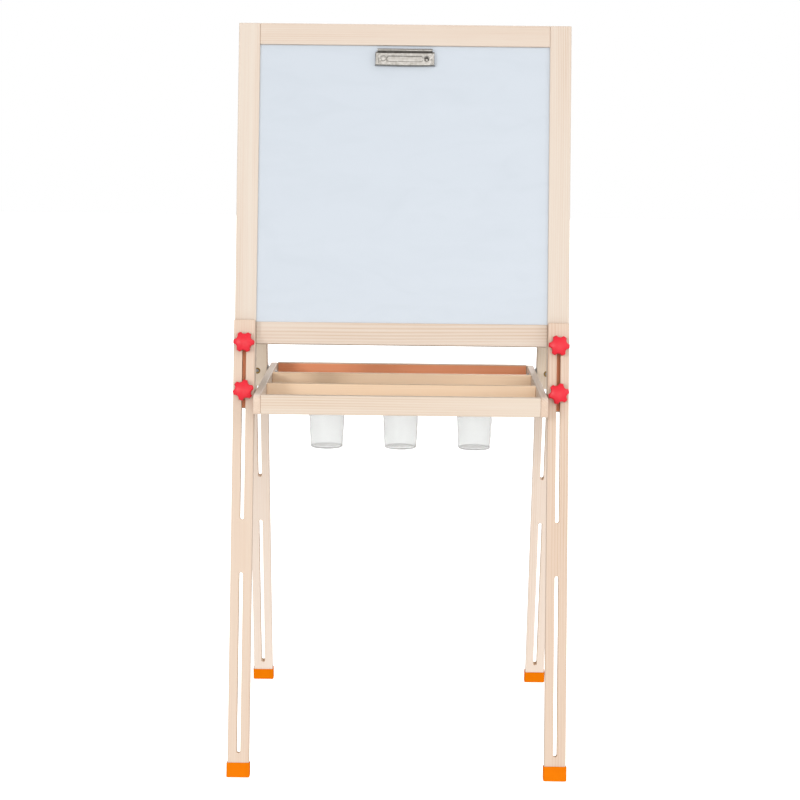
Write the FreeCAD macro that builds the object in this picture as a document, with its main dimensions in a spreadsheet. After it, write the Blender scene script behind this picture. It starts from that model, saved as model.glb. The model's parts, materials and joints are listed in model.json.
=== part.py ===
import FreeCAD, Part
import math
import os
from FreeCAD import Placement, Rotation, Vector

# A double-sided kids easel. Two boards lean together on hinges at the top, each on a pair of
# slotted legs that slide on the board's stiles and are clamped by lobed knobs. A tray with three
# lift-out cups links the two boards. Millimetres, +Z up, +X to the user's right at the white board,
# which faces -Y. The origin is on the floor, in the middle between the four feet.

DIMENSIONS = {
    # frame of each board; depths are measured outwards from the plane through the hinge axis
    "tilt": 11.0,
    "axis_height": 1223.05,
    "hinge_drop": 8.0,
    "hinge_gap": 3.5,
    "frame_width": 560.0,
    "stile_length": 649.5,
    "stile_width": 36.0,
    "frame_thickness": 18.0,
    "top_rail_height": 36.0,
    "bottom_rail_height": 37.0,
    "opening_height": 468.0,
    "wood_round": 1.2,
    # the board let into a groove round the frame
    "panel_thickness": 3.0,
    "panel_recess": 4.0,
    "groove_depth": 8.0,
    "groove_play": 0.1,
    # slotted legs and foot caps
    "leg_width": 35.5,
    "leg_thickness": 14.0,
    "leg_gap": 0.1,
    "leg_top": 502.0,
    "leg_length": 780.0,
    "slot_width": 6.5,
    "slot_length": 298.0,
    "upper_slot_start": 536.75,
    "lower_slot_start": 922.75,
    "foot_start": 1236.5,
    "foot_wall": 1.6,
    "foot_base": 3.0,
    # clamp knobs, studs and threaded inserts
    "knob_upper": 540.0,
    "knob_pitch": 80.0,
    "knob_radius": 17.5,
    "knob_height": 12.0,
    "knob_scallop_radius": 6.2,
    "knob_valley_radius": 13.6,
    "knob_hub_radius": 8.5,
    "knob_hub_height": 3.5,
    "knob_dome_radius": 34.0,
    "stud_radius": 3.0,
    "stud_play": 0.05,
    "washer_radius": 8.0,
    "washer_thickness": 1.2,
    "insert_radius": 3.9,
    "insert_length": 13.0,
    "insert_flange_radius": 5.6,
    "insert_flange": 0.8,
    # butt hinges
    "hinge_offset": 165.0,
    "hinge_length": 50.0,
    "leaf_height": 24.0,
    "leaf_thickness": 1.2,
    "barrel_radius": 2.7,
    "hinge_pin_radius": 1.5,
    # paper clip on the white board
    "clip_width": 99.4,
    "clip_top": 42.5,
    "clip_height": 27.5,
    "clip_metal": 0.8,
    "clip_depth": 8.6,
    "clip_pin_radius": 1.25,
    "clip_hole_radius": 4.0,
    "clip_hole_offset": 36.5,
    # tray
    "tray_width": 484.0,
    "tray_length": 402.0,
    "tray_height": 32.0,
    "tray_bottom": 597.0,
    "tray_wood": 12.0,
    "divider_wood": 10.0,
    "divider_offset": 65.0,
    "tray_floor_up": 4.0,
    "tray_floor_thickness": 3.0,
    "tray_floor_groove": 4.0,
    "tray_end_round": 12.0,
    "pivot_down": 627.0,
    # cups
    "cup_pitch": 124.0,
    "cup_hole_radius": 31.6,
    "cup_depth": 72.0,
    "cup_base_radius": 27.0,
    "cup_top_radius": 30.7,
    "cup_rim_radius": 34.0,
    "cup_collar": 7.0,
    "cup_wall": 1.2,
}

SCREW_HEAD_RADIUS = 3.6
SCREW_HEAD_HEIGHT = 2.2
SCREW_RADIUS = 1.9
FRAME_SCREW_LENGTH = 58.0
TRAY_SCREW_LENGTH = 34.0
HINGE_SCREW_LENGTH = 11.0
HINGE_HEAD_RADIUS = 2.9
HINGE_SCREW_RADIUS = 1.4
KNUCKLES = 5
KNUCKLE_GAP = 0.3
KNOB_LOBES = 6
KNOB_LOBE_ROUND = 1.4

doc = FreeCAD.newDocument("KidsEasel")
sheet = doc.addObject("Spreadsheet::Sheet", "Sheet")
for row, (alias, value) in enumerate(DIMENSIONS.items(), 1):
    sheet.set(f"A{row}", alias)
    sheet.set(f"B{row}", str(value))
    sheet.setAlias(f"B{row}", alias)
doc.recompute()

X_AXIS = Vector(1, 0, 0)
Y_AXIS = Vector(0, 1, 0)
Z_AXIS = Vector(0, 0, 1)
SIDES = (("left", -1), ("right", 1))
subparts = []


def size(alias):
    """The value of a driving dimension in the sheet."""
    return float(sheet.get(alias))


def turned(axis):
    """The rotation that turns +Z to the axis."""
    return Rotation(Z_AXIS, axis)


# ---------------------------------------------------------------- the two board frames of reference
# A piece of a board is built upright: x along the width, y = -depth outwards, z = 0 at the hinge
# axis and falling along the board. One placement tilts it to the front, one to the back.
HINGE_POINT = Vector(0, 0, size("axis_height"))
FRONT = Placement(HINGE_POINT, Rotation(X_AXIS, -size("tilt")))
REAR = Placement(Vector(), Rotation(Z_AXIS, 180)).multiply(FRONT)
BOARDS = (("front", FRONT, 1), ("rear", REAR, -1))
IN_PLACE = Placement()

inner_face = size("hinge_gap")
outer_face = inner_face + size("frame_thickness")
leg_face = outer_face + size("leg_gap")
leg_outer_face = leg_face + size("leg_thickness")
half_width = size("frame_width") / 2
stile_inner = half_width - size("stile_width")
stile_centre = half_width - size("stile_width") / 2
opening_bottom = size("top_rail_height") + size("opening_height")
knob_downs = (size("knob_upper"), size("knob_upper") + size("knob_pitch"))


def board_point(x, down, depth):
    """A point of the upright board, from its distance below the top edge and its depth."""
    return Vector(x, -depth, size("hinge_drop") - down)


# ---------------------------------------------------------------- building blocks
def box(name, length, width, height, corner):
    piece = doc.addObject("Part::Box", name + "_block")
    piece.setExpression("Length", length)
    piece.setExpression("Width", width)
    piece.setExpression("Height", height)
    piece.Placement = Placement(corner, Rotation())
    return piece


def cylinder(name, radius, height, base, axis):
    piece = doc.addObject("Part::Cylinder", name)
    piece.setExpression("Radius", radius)
    piece.setExpression("Height", height)
    piece.Placement = Placement(base, turned(axis))
    return piece


def cone(name, radius_low, radius_high, height, base):
    piece = doc.addObject("Part::Cone", name)
    piece.setExpression("Radius1", radius_low)
    piece.setExpression("Radius2", radius_high)
    piece.setExpression("Height", height)
    piece.Placement = Placement(base, Rotation())
    return piece


def joined(name, pieces):
    whole = doc.addObject("Part::MultiFuse", name)
    whole.Shapes = pieces
    return whole


def cut(name, base, tools):
    for number, tool in enumerate(tools, 1):
        result = doc.addObject("Part::Cut", f"{name}_cut{number}")
        result.Base = base
        result.Tool = tool
        base = result
    return base


def rounded(name, base, radius, edges=None):
    """All edges rounded, or those that the test picks."""
    doc.recompute()
    numbered = enumerate(base.Shape.Edges, 1)
    chosen = [n for n, edge in numbered if edges is None or edges(edge)]
    result = doc.addObject("Part::Fillet", name + "_round")
    result.Base = base
    result.Edges = [(n, radius, radius) for n in chosen]
    return result


def solids(name, shapes):
    """A group of separate solids made with Part's own functions."""
    piece = doc.addObject("Part::Feature", name + "_shapes")
    piece.Shape = Part.makeCompound(shapes)
    return piece


def subpart(label, source, placement=IN_PLACE):
    """Name a finished sub-part and put it in its place."""
    piece = doc.addObject("Part::Compound", label)
    piece.Links = [source] if not isinstance(source, list) else source
    piece.Label = label
    piece.Placement = placement
    subparts.append(piece)


def along(edge, axis):
    """True for a straight edge along the axis."""
    first, last = edge.Vertexes[0].Point, edge.Vertexes[-1].Point
    step = last - first
    return step.Length > 0 and abs(step.normalize().dot(axis)) > 0.999


def screw(head, direction, length, head_radius=SCREW_HEAD_RADIUS, radius=SCREW_RADIUS):
    """A countersunk screw whose head is flush at the point head and which runs along direction."""
    depth = SCREW_HEAD_HEIGHT * head_radius / SCREW_HEAD_RADIUS
    cup = Part.makeCone(head_radius, radius, depth, head, direction)
    shank = Part.makeCylinder(radius, length, head, direction)
    return cup.fuse(shank).removeSplitter()


# ---------------------------------------------------------------- boards, rails and stiles
panel_front = outer_face - size("panel_recess")
panel_back = panel_front - size("panel_thickness")


def groove(name):
    """The space that the board takes in the frame, with a little play."""
    play = size("groove_play")
    corner = board_point(-stile_inner - size("groove_depth"), opening_bottom, panel_front)
    corner += Vector(-play, -play, -size("groove_depth") - play)
    width = "Sheet.frame_width - 2 * Sheet.stile_width + 2 * Sheet.groove_depth + 2 * Sheet.groove_play"
    height = "Sheet.opening_height + 2 * Sheet.groove_depth + 2 * Sheet.groove_play"
    return box(name, width, "Sheet.panel_thickness + 2 * Sheet.groove_play", height, corner)


def frame_screws(name):
    """Two screws through each stile into the end of each rail."""
    depth = inner_face + 5.2
    lift = 8.0
    downs = [size("top_rail_height") / 2 + step for step in (-lift, lift)]
    downs += [opening_bottom + size("bottom_rail_height") / 2 + step for step in (-lift, lift)]
    heads = [(side, board_point(side * half_width, down, depth)) for side in (-1, 1) for down in downs]
    return solids(name, [screw(head, X_AXIS * -side, FRAME_SCREW_LENGTH) for side, head in heads])


def insert_bores(name, side):
    """The bores for the threaded inserts and the studs in one stile."""
    shapes = []
    for down in knob_downs:
        start = board_point(side * stile_centre, down, inner_face)
        outwards = -Y_AXIS
        shapes.append(Part.makeCylinder(size("insert_radius"), size("insert_length"), start, outwards))
        clear = size("stud_radius") + 0.4
        shapes.append(Part.makeCylinder(clear, size("frame_thickness") + 1, start, outwards))
        shapes.append(Part.makeCylinder(size("insert_flange_radius"), size("insert_flange"), start, outwards))
    whole = shapes[0].multiFuse(shapes[1:])
    return solids(name, [whole])


def inserts(name):
    """Four flanged threaded inserts, flush with the inner faces of the stiles."""
    shapes = []
    for side in (-1, 1):
        for down in knob_downs:
            start = board_point(side * stile_centre, down, inner_face)
            barrel = Part.makeCylinder(size("insert_radius"), size("insert_length"), start, -Y_AXIS)
            flange = Part.makeCylinder(size("insert_flange_radius"), size("insert_flange"), start, -Y_AXIS)
            bore_radius = size("stud_radius") + size("stud_play")
            bore = Part.makeCylinder(bore_radius, size("insert_length") + 2, start + Y_AXIS, -Y_AXIS)
            shapes.append(barrel.fuse(flange).cut(bore).removeSplitter())
    return solids(name, shapes)


pivot_depth = inner_face + size("frame_thickness") / 2
PIN_RADIUS = 3.0
PIN_PLAY = 0.06
PIN_BURIED = 22.0
PIN_SHORT_OF_TRAY = 0.6
BOLT_HEAD_RADIUS = 6.0
BOLT_HEAD_HEIGHT = 3.2
PIVOT_WASHER_RADIUS = 15.0
NUT_RADIUS = 5.6
NUT_HEIGHT = 4.6
tray_half = size("tray_width") / 2


def tray_pins(name):
    """The two pins in the front stiles that hold the tray's front end."""
    tip = tray_half + PIN_SHORT_OF_TRAY
    length = stile_inner + PIN_BURIED - tip
    starts = [(side, board_point(side * tip, size("pivot_down"), pivot_depth)) for side in (-1, 1)]
    shapes = [Part.makeCylinder(PIN_RADIUS, length, start, X_AXIS * side) for side, start in starts]
    return solids(name, shapes)


def pivot_bolts(name):
    """The bolts that the tray turns on: button head, shank through the stile, washer and cap nut."""
    head_face = tray_half - size("tray_wood") - 0.2
    shapes = []
    for side in (-1, 1):
        outwards = X_AXIS * side
        start = board_point(side * head_face, size("pivot_down"), pivot_depth)
        shank = Part.makeCylinder(PIN_RADIUS, half_width - head_face + NUT_HEIGHT, start, outwards)
        head = Part.makeCone(BOLT_HEAD_RADIUS, BOLT_HEAD_RADIUS * 0.55, BOLT_HEAD_HEIGHT, start, outwards * -1)
        shapes.append(shank.fuse(head).removeSplitter())
        gap_start = board_point(side * (tray_half + 0.2), size("pivot_down"), pivot_depth)
        gap = stile_inner - tray_half - 0.25
        washer = Part.makeCylinder(PIVOT_WASHER_RADIUS, gap, gap_start, outwards)
        washer_bore = Part.makeCylinder(PIN_RADIUS, gap, gap_start, outwards)
        shapes.append(washer.cut(washer_bore))
        nut_start = board_point(side * half_width, size("pivot_down"), pivot_depth)
        nut = Part.makeCylinder(NUT_RADIUS, NUT_HEIGHT, nut_start, outwards)
        shapes.append(nut.cut(shank))
    return solids(name, shapes)


hinge_places = (-size("hinge_offset"), size("hinge_offset"))


def knuckle_spans(odd):
    """Start and length of every other knuckle along a hinge, from its left end."""
    pitch = size("hinge_length") / KNUCKLES
    return [(n * pitch + KNUCKLE_GAP / 2, pitch - KNUCKLE_GAP) for n in range(KNUCKLES) if n % 2 == odd]


def hinge_leaves(name, odd):
    """The two leaves on one board, each with its knuckles round the hinge axis."""
    shapes = []
    bore_radius = size("hinge_pin_radius") + (size("stud_play") if odd else 0)
    leaf_back = inner_face - size("leaf_thickness")
    for place in hinge_places:
        left = place - size("hinge_length") / 2
        corner = Vector(left, -inner_face, -size("leaf_height"))
        leaf_drop = size("leaf_height") - size("barrel_radius") - 0.4
        leaf = Part.makeBox(size("hinge_length"), size("leaf_thickness"), leaf_drop, corner)
        for start, length in knuckle_spans(odd):
            neck_corner = Vector(left + start, -inner_face, -size("barrel_radius") - 0.6)
            neck = Part.makeBox(length, inner_face - leaf_back, size("barrel_radius") + 0.6, neck_corner)
            barrel = Part.makeCylinder(size("barrel_radius"), length, Vector(left + start, 0, 0), X_AXIS)
            leaf = leaf.multiFuse([neck, barrel])
        bore = Part.makeCylinder(bore_radius, size("hinge_length") + 2, Vector(left - 1, 0, 0), X_AXIS)
        shapes.append(leaf.cut(bore).removeSplitter())
    return solids(name, shapes)


def hinge_pins(name):
    """The pins of the two hinges."""
    starts = [Vector(place - size("hinge_length") / 2, 0, 0) for place in hinge_places]
    return solids(name, [
        Part.makeCylinder(size("hinge_pin_radius"), size("hinge_length"), start, X_AXIS) for start in starts
    ])


def hinge_screws(name):
    """Three countersunk screws in each leaf, from the inner face into the rail."""
    spread = size("hinge_length") / 2 - 8
    leaf_back = inner_face - size("leaf_thickness")
    heads = [
        Vector(place + step, -leaf_back, -size("leaf_height") / 2 - 3 - (3 if step else -3))
        for place in hinge_places
        for step in (-spread, 0, spread)
    ]
    return solids(name, [
        screw(head, -Y_AXIS, HINGE_SCREW_LENGTH, HINGE_HEAD_RADIUS, HINGE_SCREW_RADIUS) for head in heads
    ])


def wood_bar(name, length, width, height, corner):
    return rounded(name, box(name, length, width, height, corner), size("wood_round"))


def barrel_rebate(name):
    """The shallow rebate over each hinge barrel in the inner face of the top rail."""
    relief = size("barrel_radius") + 0.5
    starts = [Vector(place - size("hinge_length") / 2 - 1, 0, 0) for place in hinge_places]
    return solids(name, [
        Part.makeCylinder(relief + 0.6, size("hinge_length") + 2, start, X_AXIS) for start in starts
    ])


def board_frame(board, placement, turn):
    """One board frame: four bars, the board, and the hardware that stays in them."""
    groove_space = groove(f"{board}_groove")
    screws = frame_screws(f"{board}_frame_screws")
    leaf_screws = hinge_screws(f"{board}_hinge_screws")
    pins = tray_pins("front_tray_pins") if board == "front" else pivot_bolts("rear_pivot_bolts")
    odd = 0 if board == "front" else 1
    for side_name, world_side in SIDES:
        side = world_side * turn
        name = f"{board}_{side_name}_stile"
        left = min(side * half_width, side * stile_inner)
        corner = board_point(left, size("stile_length"), outer_face)
        bar = wood_bar(name, "Sheet.stile_width", "Sheet.frame_thickness", "Sheet.stile_length", corner)
        tools = [groove_space, screws, insert_bores(f"{name}_bores", side), pins]
        subpart(name, cut(name, bar, tools), placement)
    inner_width = "Sheet.frame_width - 2 * Sheet.stile_width"
    top_corner = board_point(-stile_inner, size("top_rail_height"), outer_face)
    top_name = f"{board}_top_rail"
    top = wood_bar(top_name, inner_width, "Sheet.frame_thickness", "Sheet.top_rail_height", top_corner)
    top_tools = [groove_space, screws, leaf_screws, barrel_rebate(f"{board}_rebate")]
    subpart(top_name, cut(top_name, top, top_tools), placement)
    low_corner = board_point(-stile_inner, opening_bottom + size("bottom_rail_height"), outer_face)
    low_name = f"{board}_bottom_rail"
    low = wood_bar(low_name, inner_width, "Sheet.frame_thickness", "Sheet.bottom_rail_height", low_corner)
    subpart(low_name, cut(low_name, low, [groove_space, screws]), placement)
    panel_corner = board_point(-stile_inner - size("groove_depth"), opening_bottom, panel_front)
    panel_corner += Vector(0, 0, -size("groove_depth"))
    panel_width = inner_width + " + 2 * Sheet.groove_depth"
    panel_height = "Sheet.opening_height + 2 * Sheet.groove_depth"
    panel_name = "whiteboard" if board == "front" else "chalkboard"
    panel = box(f"{panel_name}_sheet", panel_width, "Sheet.panel_thickness", panel_height, panel_corner)
    if board == "front":
        panel = cut(panel_name, panel, [clip_rivet_shapes])
    subpart(panel_name, panel, placement)
    subpart(f"{board}_frame_screws", screws, placement)
    subpart(f"{board}_inserts", inserts(f"{board}_inserts"), placement)
    leaves = cut(f"{board}_leaves", hinge_leaves(f"{board}_hinge_leaves", odd), [leaf_screws])
    subpart(f"{board}_hinge_leaves", leaves, placement)
    subpart(f"{board}_hinge_screws", leaf_screws, placement)
    subpart("front_tray_pins" if board == "front" else "tray_pivot_bolts", pins, placement)


# ---------------------------------------------------------------- paper clip
clip_half = size("clip_width") / 2
clip_bottom = size("clip_top") + size("clip_height")
clip_pin_down = size("clip_top") + 9.0
clip_pin_depth = panel_front + 5.4
clip_front = panel_front + size("clip_depth")
clip_rivet_down = size("clip_top") + 17.0
metal = size("clip_metal")
CLIP_ROLL_RADIUS = 2.6
CLIP_RIVET_RADIUS = 1.75
CLIP_RIVET_HEAD = 3.4
CLIP_EAR_RADIUS = 2.2
CLIP_CHEEK_TOP = 2.5


def clip_rivets(name):
    """Two rivets that hold the clip's base to the board."""
    shapes = []
    for side in (-1, 1):
        place = board_point(side * size("clip_hole_offset"), clip_rivet_down, panel_back - 0.9)
        length = size("panel_thickness") + metal + 1.4
        shank = Part.makeCylinder(CLIP_RIVET_RADIUS, length, place, -Y_AXIS)
        tail = Part.makeCylinder(CLIP_RIVET_HEAD, 0.9, place, -Y_AXIS)
        head_place = board_point(side * size("clip_hole_offset"), clip_rivet_down, panel_front + metal)
        head = Part.makeCone(CLIP_RIVET_HEAD, CLIP_RIVET_HEAD * 0.6, 1.1, head_place, -Y_AXIS)
        shapes.append(shank.multiFuse([tail, head]).removeSplitter())
    return solids(name, shapes)


def clip_base(name):
    """The plate on the board, with a round-ended ear for the pin near each end."""
    inset = 2.2
    corner = board_point(-clip_half + inset, clip_bottom - 1.0, panel_front + metal)
    plate = Part.makeBox(size("clip_width") - 2 * inset, metal, size("clip_height") - 4, corner)
    whole = plate
    for side in (-1, 1):
        left = min(side * (clip_half - inset), side * (clip_half - inset - metal))
        ear_corner = board_point(left, clip_pin_down + CLIP_EAR_RADIUS, clip_pin_depth)
        ear = Part.makeBox(metal, clip_pin_depth - panel_front, 2 * CLIP_EAR_RADIUS, ear_corner)
        tip_start = board_point(left, clip_pin_down, clip_pin_depth)
        tip = Part.makeCylinder(CLIP_EAR_RADIUS, metal, tip_start, X_AXIS)
        whole = whole.multiFuse([ear, tip])
    pin_start = board_point(-clip_half, clip_pin_down, clip_pin_depth)
    hole = Part.makeCylinder(size("clip_pin_radius"), size("clip_width"), pin_start, X_AXIS)
    return solids(name, [whole.cut(hole).removeSplitter()])


def clip_jaw(name):
    """The sprung lever: a pressed cover with side cheeks, a gripping lip and a rolled thumb edge."""
    width = size("clip_width")
    top = size("clip_top") + 3.2
    face_corner = board_point(-clip_half, clip_bottom, clip_front)
    face = Part.makeBox(width, metal, clip_bottom - top, face_corner)
    lip_corner = board_point(-clip_half, clip_bottom, clip_front)
    lip = Part.makeBox(width, clip_front - panel_front - metal - 0.2, metal, lip_corner)
    lip.translate(Vector(0, 0, -metal))
    face = face.fuse(Part.makeBox(width, metal, metal, lip_corner + Vector(0, 0, -metal)))
    roll_centre = board_point(-clip_half + 3.0, top - 1.4, clip_front - CLIP_ROLL_RADIUS)
    roll = Part.makeCylinder(CLIP_ROLL_RADIUS, width - 6.0, roll_centre, X_AXIS)
    roll_core = Part.makeCylinder(CLIP_ROLL_RADIUS - metal, width - 6.0, roll_centre, X_AXIS)
    whole = face.multiFuse([lip, roll]).cut(roll_core)
    for side in (-1, 1):
        left = min(side * clip_half, side * (clip_half - metal))
        cheek_corner = board_point(left, clip_bottom, clip_front)
        cheek_depth = clip_front - panel_front - metal - 0.2
        cheek_height = clip_bottom - clip_pin_down + CLIP_CHEEK_TOP
        whole = whole.fuse(Part.makeBox(metal, cheek_depth, cheek_height, cheek_corner))
        hole_start = board_point(side * size("clip_hole_offset"), clip_rivet_down, clip_front + 1)
        whole = whole.cut(Part.makeCylinder(size("clip_hole_radius"), 3, hole_start, Y_AXIS))
    pin_start = board_point(-clip_half - 1, clip_pin_down, clip_pin_depth)
    pin_hole = size("clip_pin_radius") + size("stud_play")
    whole = whole.cut(Part.makeCylinder(pin_hole, width + 2, pin_start, X_AXIS))
    return solids(name, [whole.removeSplitter()])


def clip_pin(name):
    start = board_point(-clip_half + 0.1, clip_pin_down, clip_pin_depth)
    return solids(name, [Part.makeCylinder(size("clip_pin_radius"), size("clip_width") - 0.2, start, X_AXIS)])


def clip_spring(name):
    """The torsion spring's coil round the pin, one ring to a turn, and its arm on the base."""
    turns, wire = 14, 0.45
    mean_radius = size("clip_pin_radius") + 0.1 + wire
    middle = board_point(0, clip_pin_down, clip_pin_depth)
    rings = []
    for turn_number in range(turns):
        offset = (turn_number - (turns - 1) / 2) * wire * 1.9
        rings.append(Part.makeTorus(mean_radius, wire, middle + X_AXIS * offset, X_AXIS))
    arm_start = middle + Vector(0, mean_radius, 0)
    rings.append(Part.makeCylinder(wire * 0.9, 11.0, arm_start, -Z_AXIS))
    return solids(name, [rings[0].multiFuse(rings[1:])])


clip_rivet_shapes = clip_rivets("clip_rivets")


def build_clip():
    base = cut("clip_base", clip_base("clip_base"), [clip_rivet_shapes])
    subpart("clip_base", base, FRONT)
    subpart("clip_rivets", clip_rivet_shapes, FRONT)
    subpart("clip_jaw", clip_jaw("clip_jaw"), FRONT)
    subpart("clip_pin", clip_pin("clip_pin"), FRONT)
    subpart("clip_spring", clip_spring("clip_spring"), FRONT)


# ---------------------------------------------------------------- legs and feet
def below_level(name, height):
    """Everything under a level plane, seen from the upright board."""
    block = box(name, "2 * Sheet.frame_width", "Sheet.frame_width", "Sheet.frame_width / 4", Vector())
    level = Placement(Vector(-size("frame_width"), -size("frame_width"), height - size("frame_width") / 4),
                      Rotation())
    block.Placement = FRONT.inverse().multiply(level)
    return block


def leg_slot(name, side, start_alias):
    """A slot with round ends through a leg."""
    start = size(start_alias)
    half_slot = size("slot_width") / 2
    corner = board_point(side * stile_centre - half_slot, start + size("slot_length") - half_slot, leg_outer_face)
    corner += Vector(0, -1, 0)
    middle = box(name, "Sheet.slot_width", "Sheet.leg_thickness + 2", "Sheet.slot_length - Sheet.slot_width",
                 corner)
    ends = []
    for number, down in enumerate((start + half_slot, start + size("slot_length") - half_slot)):
        base = board_point(side * stile_centre, down, leg_outer_face + 1)
        ends.append(cylinder(f"{name}_end{number}", "Sheet.slot_width / 2", "Sheet.leg_thickness + 2", base,
                             Y_AXIS))
    return joined(f"{name}_whole", [middle] + ends)


def leg_and_foot(board, side_name, side, placement):
    """A slotted leg and the cap on its end, with a sole that is level on the floor."""
    name = f"{board}_{side_name}_leg"
    left = side * stile_centre - size("leg_width") / 2
    corner = board_point(left, size("leg_top") + size("leg_length"), leg_outer_face)
    long_round = size("wood_round")
    blank = box(name, "Sheet.leg_width", "Sheet.leg_thickness", "Sheet.leg_length", corner)
    bar = rounded(name, blank, long_round, lambda edge: along(edge, Z_AXIS))
    slots = [leg_slot(f"{name}_{alias}", side, alias) for alias in ("upper_slot_start", "lower_slot_start")]
    leg = cut(name, bar, slots + [below_level(f"{name}_end", size("foot_base"))])
    subpart(name, leg, placement)
    foot = f"{board}_{side_name}_foot"
    wall = size("foot_wall")
    reach = size("leg_top") + size("leg_length") + wall
    foot_corner = board_point(left - wall, reach, leg_outer_face + wall)
    outer = box(foot, "Sheet.leg_width + 2 * Sheet.foot_wall", "Sheet.leg_thickness + 2 * Sheet.foot_wall",
                "Sheet.leg_top + Sheet.leg_length + Sheet.foot_wall - Sheet.foot_start", foot_corner)
    cap = rounded(foot, outer, size("foot_wall"), lambda edge: along(edge, Z_AXIS))
    subpart(foot, cut(foot, cap, [below_level(f"{foot}_sole", 0.0), leg]), placement)


# ---------------------------------------------------------------- knobs
def knob_profile():
    """The lobed disc: round scallops cut between the lobes, with a lobe along +X."""
    scallop_radius = size("knob_scallop_radius")
    reach = size("knob_valley_radius") + scallop_radius
    scallops = []
    for number in range(KNOB_LOBES):
        angle = 2 * math.pi * (number + 0.5) / KNOB_LOBES
        place = Vector(reach * math.cos(angle), reach * math.sin(angle), 0)
        scallops.append(Part.makeCylinder(scallop_radius, size("knob_height"), place))
    disc = Part.makeCylinder(size("knob_radius"), size("knob_height")).cut(scallops)
    corners = [edge for edge in disc.Edges if along(edge, Z_AXIS)]
    return disc.makeFillet(KNOB_LOBE_ROUND, corners)


def knob_solid():
    """A lobed knob with a domed face and a hub that bears on the washer."""
    body = knob_profile()
    dome_centre = Vector(0, 0, size("knob_height") - size("knob_dome_radius"))
    body = body.common(Part.makeSphere(size("knob_dome_radius"), dome_centre))
    hub = Part.makeCylinder(size("knob_hub_radius"), size("knob_hub_height"), Vector(0, 0, -size("knob_hub_height")))
    bore = Part.makeCylinder(size("stud_radius"), size("knob_hub_height") + 7, Vector(0, 0, -size("knob_hub_height")))
    return body.fuse(hub).cut(bore).removeSplitter()


KNOB_TURNS = {"front_left": (-3, 17), "front_right": (-4, 15), "rear_left": (40, 5), "rear_right": (0, 28)}
knob_seat = leg_outer_face + 0.15 + size("washer_thickness")


def knobs(board, side_name, side, placement):
    """The two knobs of a leg, each with its stud and washer."""
    for level, down, turn in zip(("upper", "lower"), knob_downs, KNOB_TURNS[f"{board}_{side_name}"]):
        name = f"{board}_{side_name}_{level}"
        start = board_point(side * stile_centre, down, knob_seat)
        outwards = Rotation(X_AXIS, 90)
        knob = doc.addObject("Part::Feature", f"{name}_knob_shape")
        knob.Shape = knob_solid()
        local = Placement(start - Y_AXIS * size("knob_hub_height"), outwards.multiply(Rotation(Z_AXIS, turn)))
        knob.Placement = local
        subpart(f"{name}_knob", knob, placement)
        end = inner_face + 1.5
        stud_start = board_point(side * stile_centre, down, end)
        length = knob_seat + size("knob_hub_height") + 3.5 - end
        stud = Part.makeCylinder(size("stud_radius"), length, stud_start, -Y_AXIS)
        washer_start = board_point(side * stile_centre, down, leg_outer_face + 0.15)
        washer = Part.makeCylinder(size("washer_radius"), size("washer_thickness"), washer_start, -Y_AXIS)
        subpart(f"{name}_stud", solids(f"{name}_stud", [stud, washer.cut(stud)]), placement)


# ---------------------------------------------------------------- tray
tray_end = size("tray_length") / 2
tray_base = Vector(0, 0, size("tray_bottom"))
TRAY = Placement(tray_base, Rotation())
floor_top = size("tray_floor_up") + size("tray_floor_thickness")
wood = size("tray_wood")
pivot_world = REAR.multVec(board_point(0, size("pivot_down"), pivot_depth))
PIN_HOLE_DEPTH = 8.0
rail_faces = {
    "tray_front_rail": -tray_end,
    "tray_back_rail": tray_end - wood,
}
divider_faces = [sign * size("divider_offset") - size("divider_wood") / 2 for sign in (-1, 1)]


def tray_screws(name):
    """Screws through the tray's sides into its rails and dividers."""
    places = []
    for face in rail_faces.values():
        places += [(face + wood / 2, 12.5), (face + wood / 2, 25.0)]
    for face in divider_faces:
        places.append((face + size("divider_wood") / 2, 19.0))
    shapes = []
    for side in (-1, 1):
        for y, z in places:
            shapes.append(screw(Vector(side * tray_half, y, z), X_AXIS * -side, TRAY_SCREW_LENGTH, 2.9, 1.6))
    return solids(name, shapes)


def tray_floor_space(name):
    """The groove that the tray's floor sits in."""
    play = size("groove_play")
    reach_x = tray_half - wood + size("tray_floor_groove") + play
    reach_y = tray_end - wood + size("tray_floor_groove") + play
    corner = Vector(-reach_x, -reach_y, size("tray_floor_up") - play)
    return box(
        name,
        "Sheet.tray_width - 2 * Sheet.tray_wood + 2 * Sheet.tray_floor_groove + 2 * Sheet.groove_play",
        "Sheet.tray_length - 2 * Sheet.tray_wood + 2 * Sheet.tray_floor_groove + 2 * Sheet.groove_play",
        "Sheet.tray_floor_thickness + 2 * Sheet.groove_play",
        corner,
    )


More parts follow.
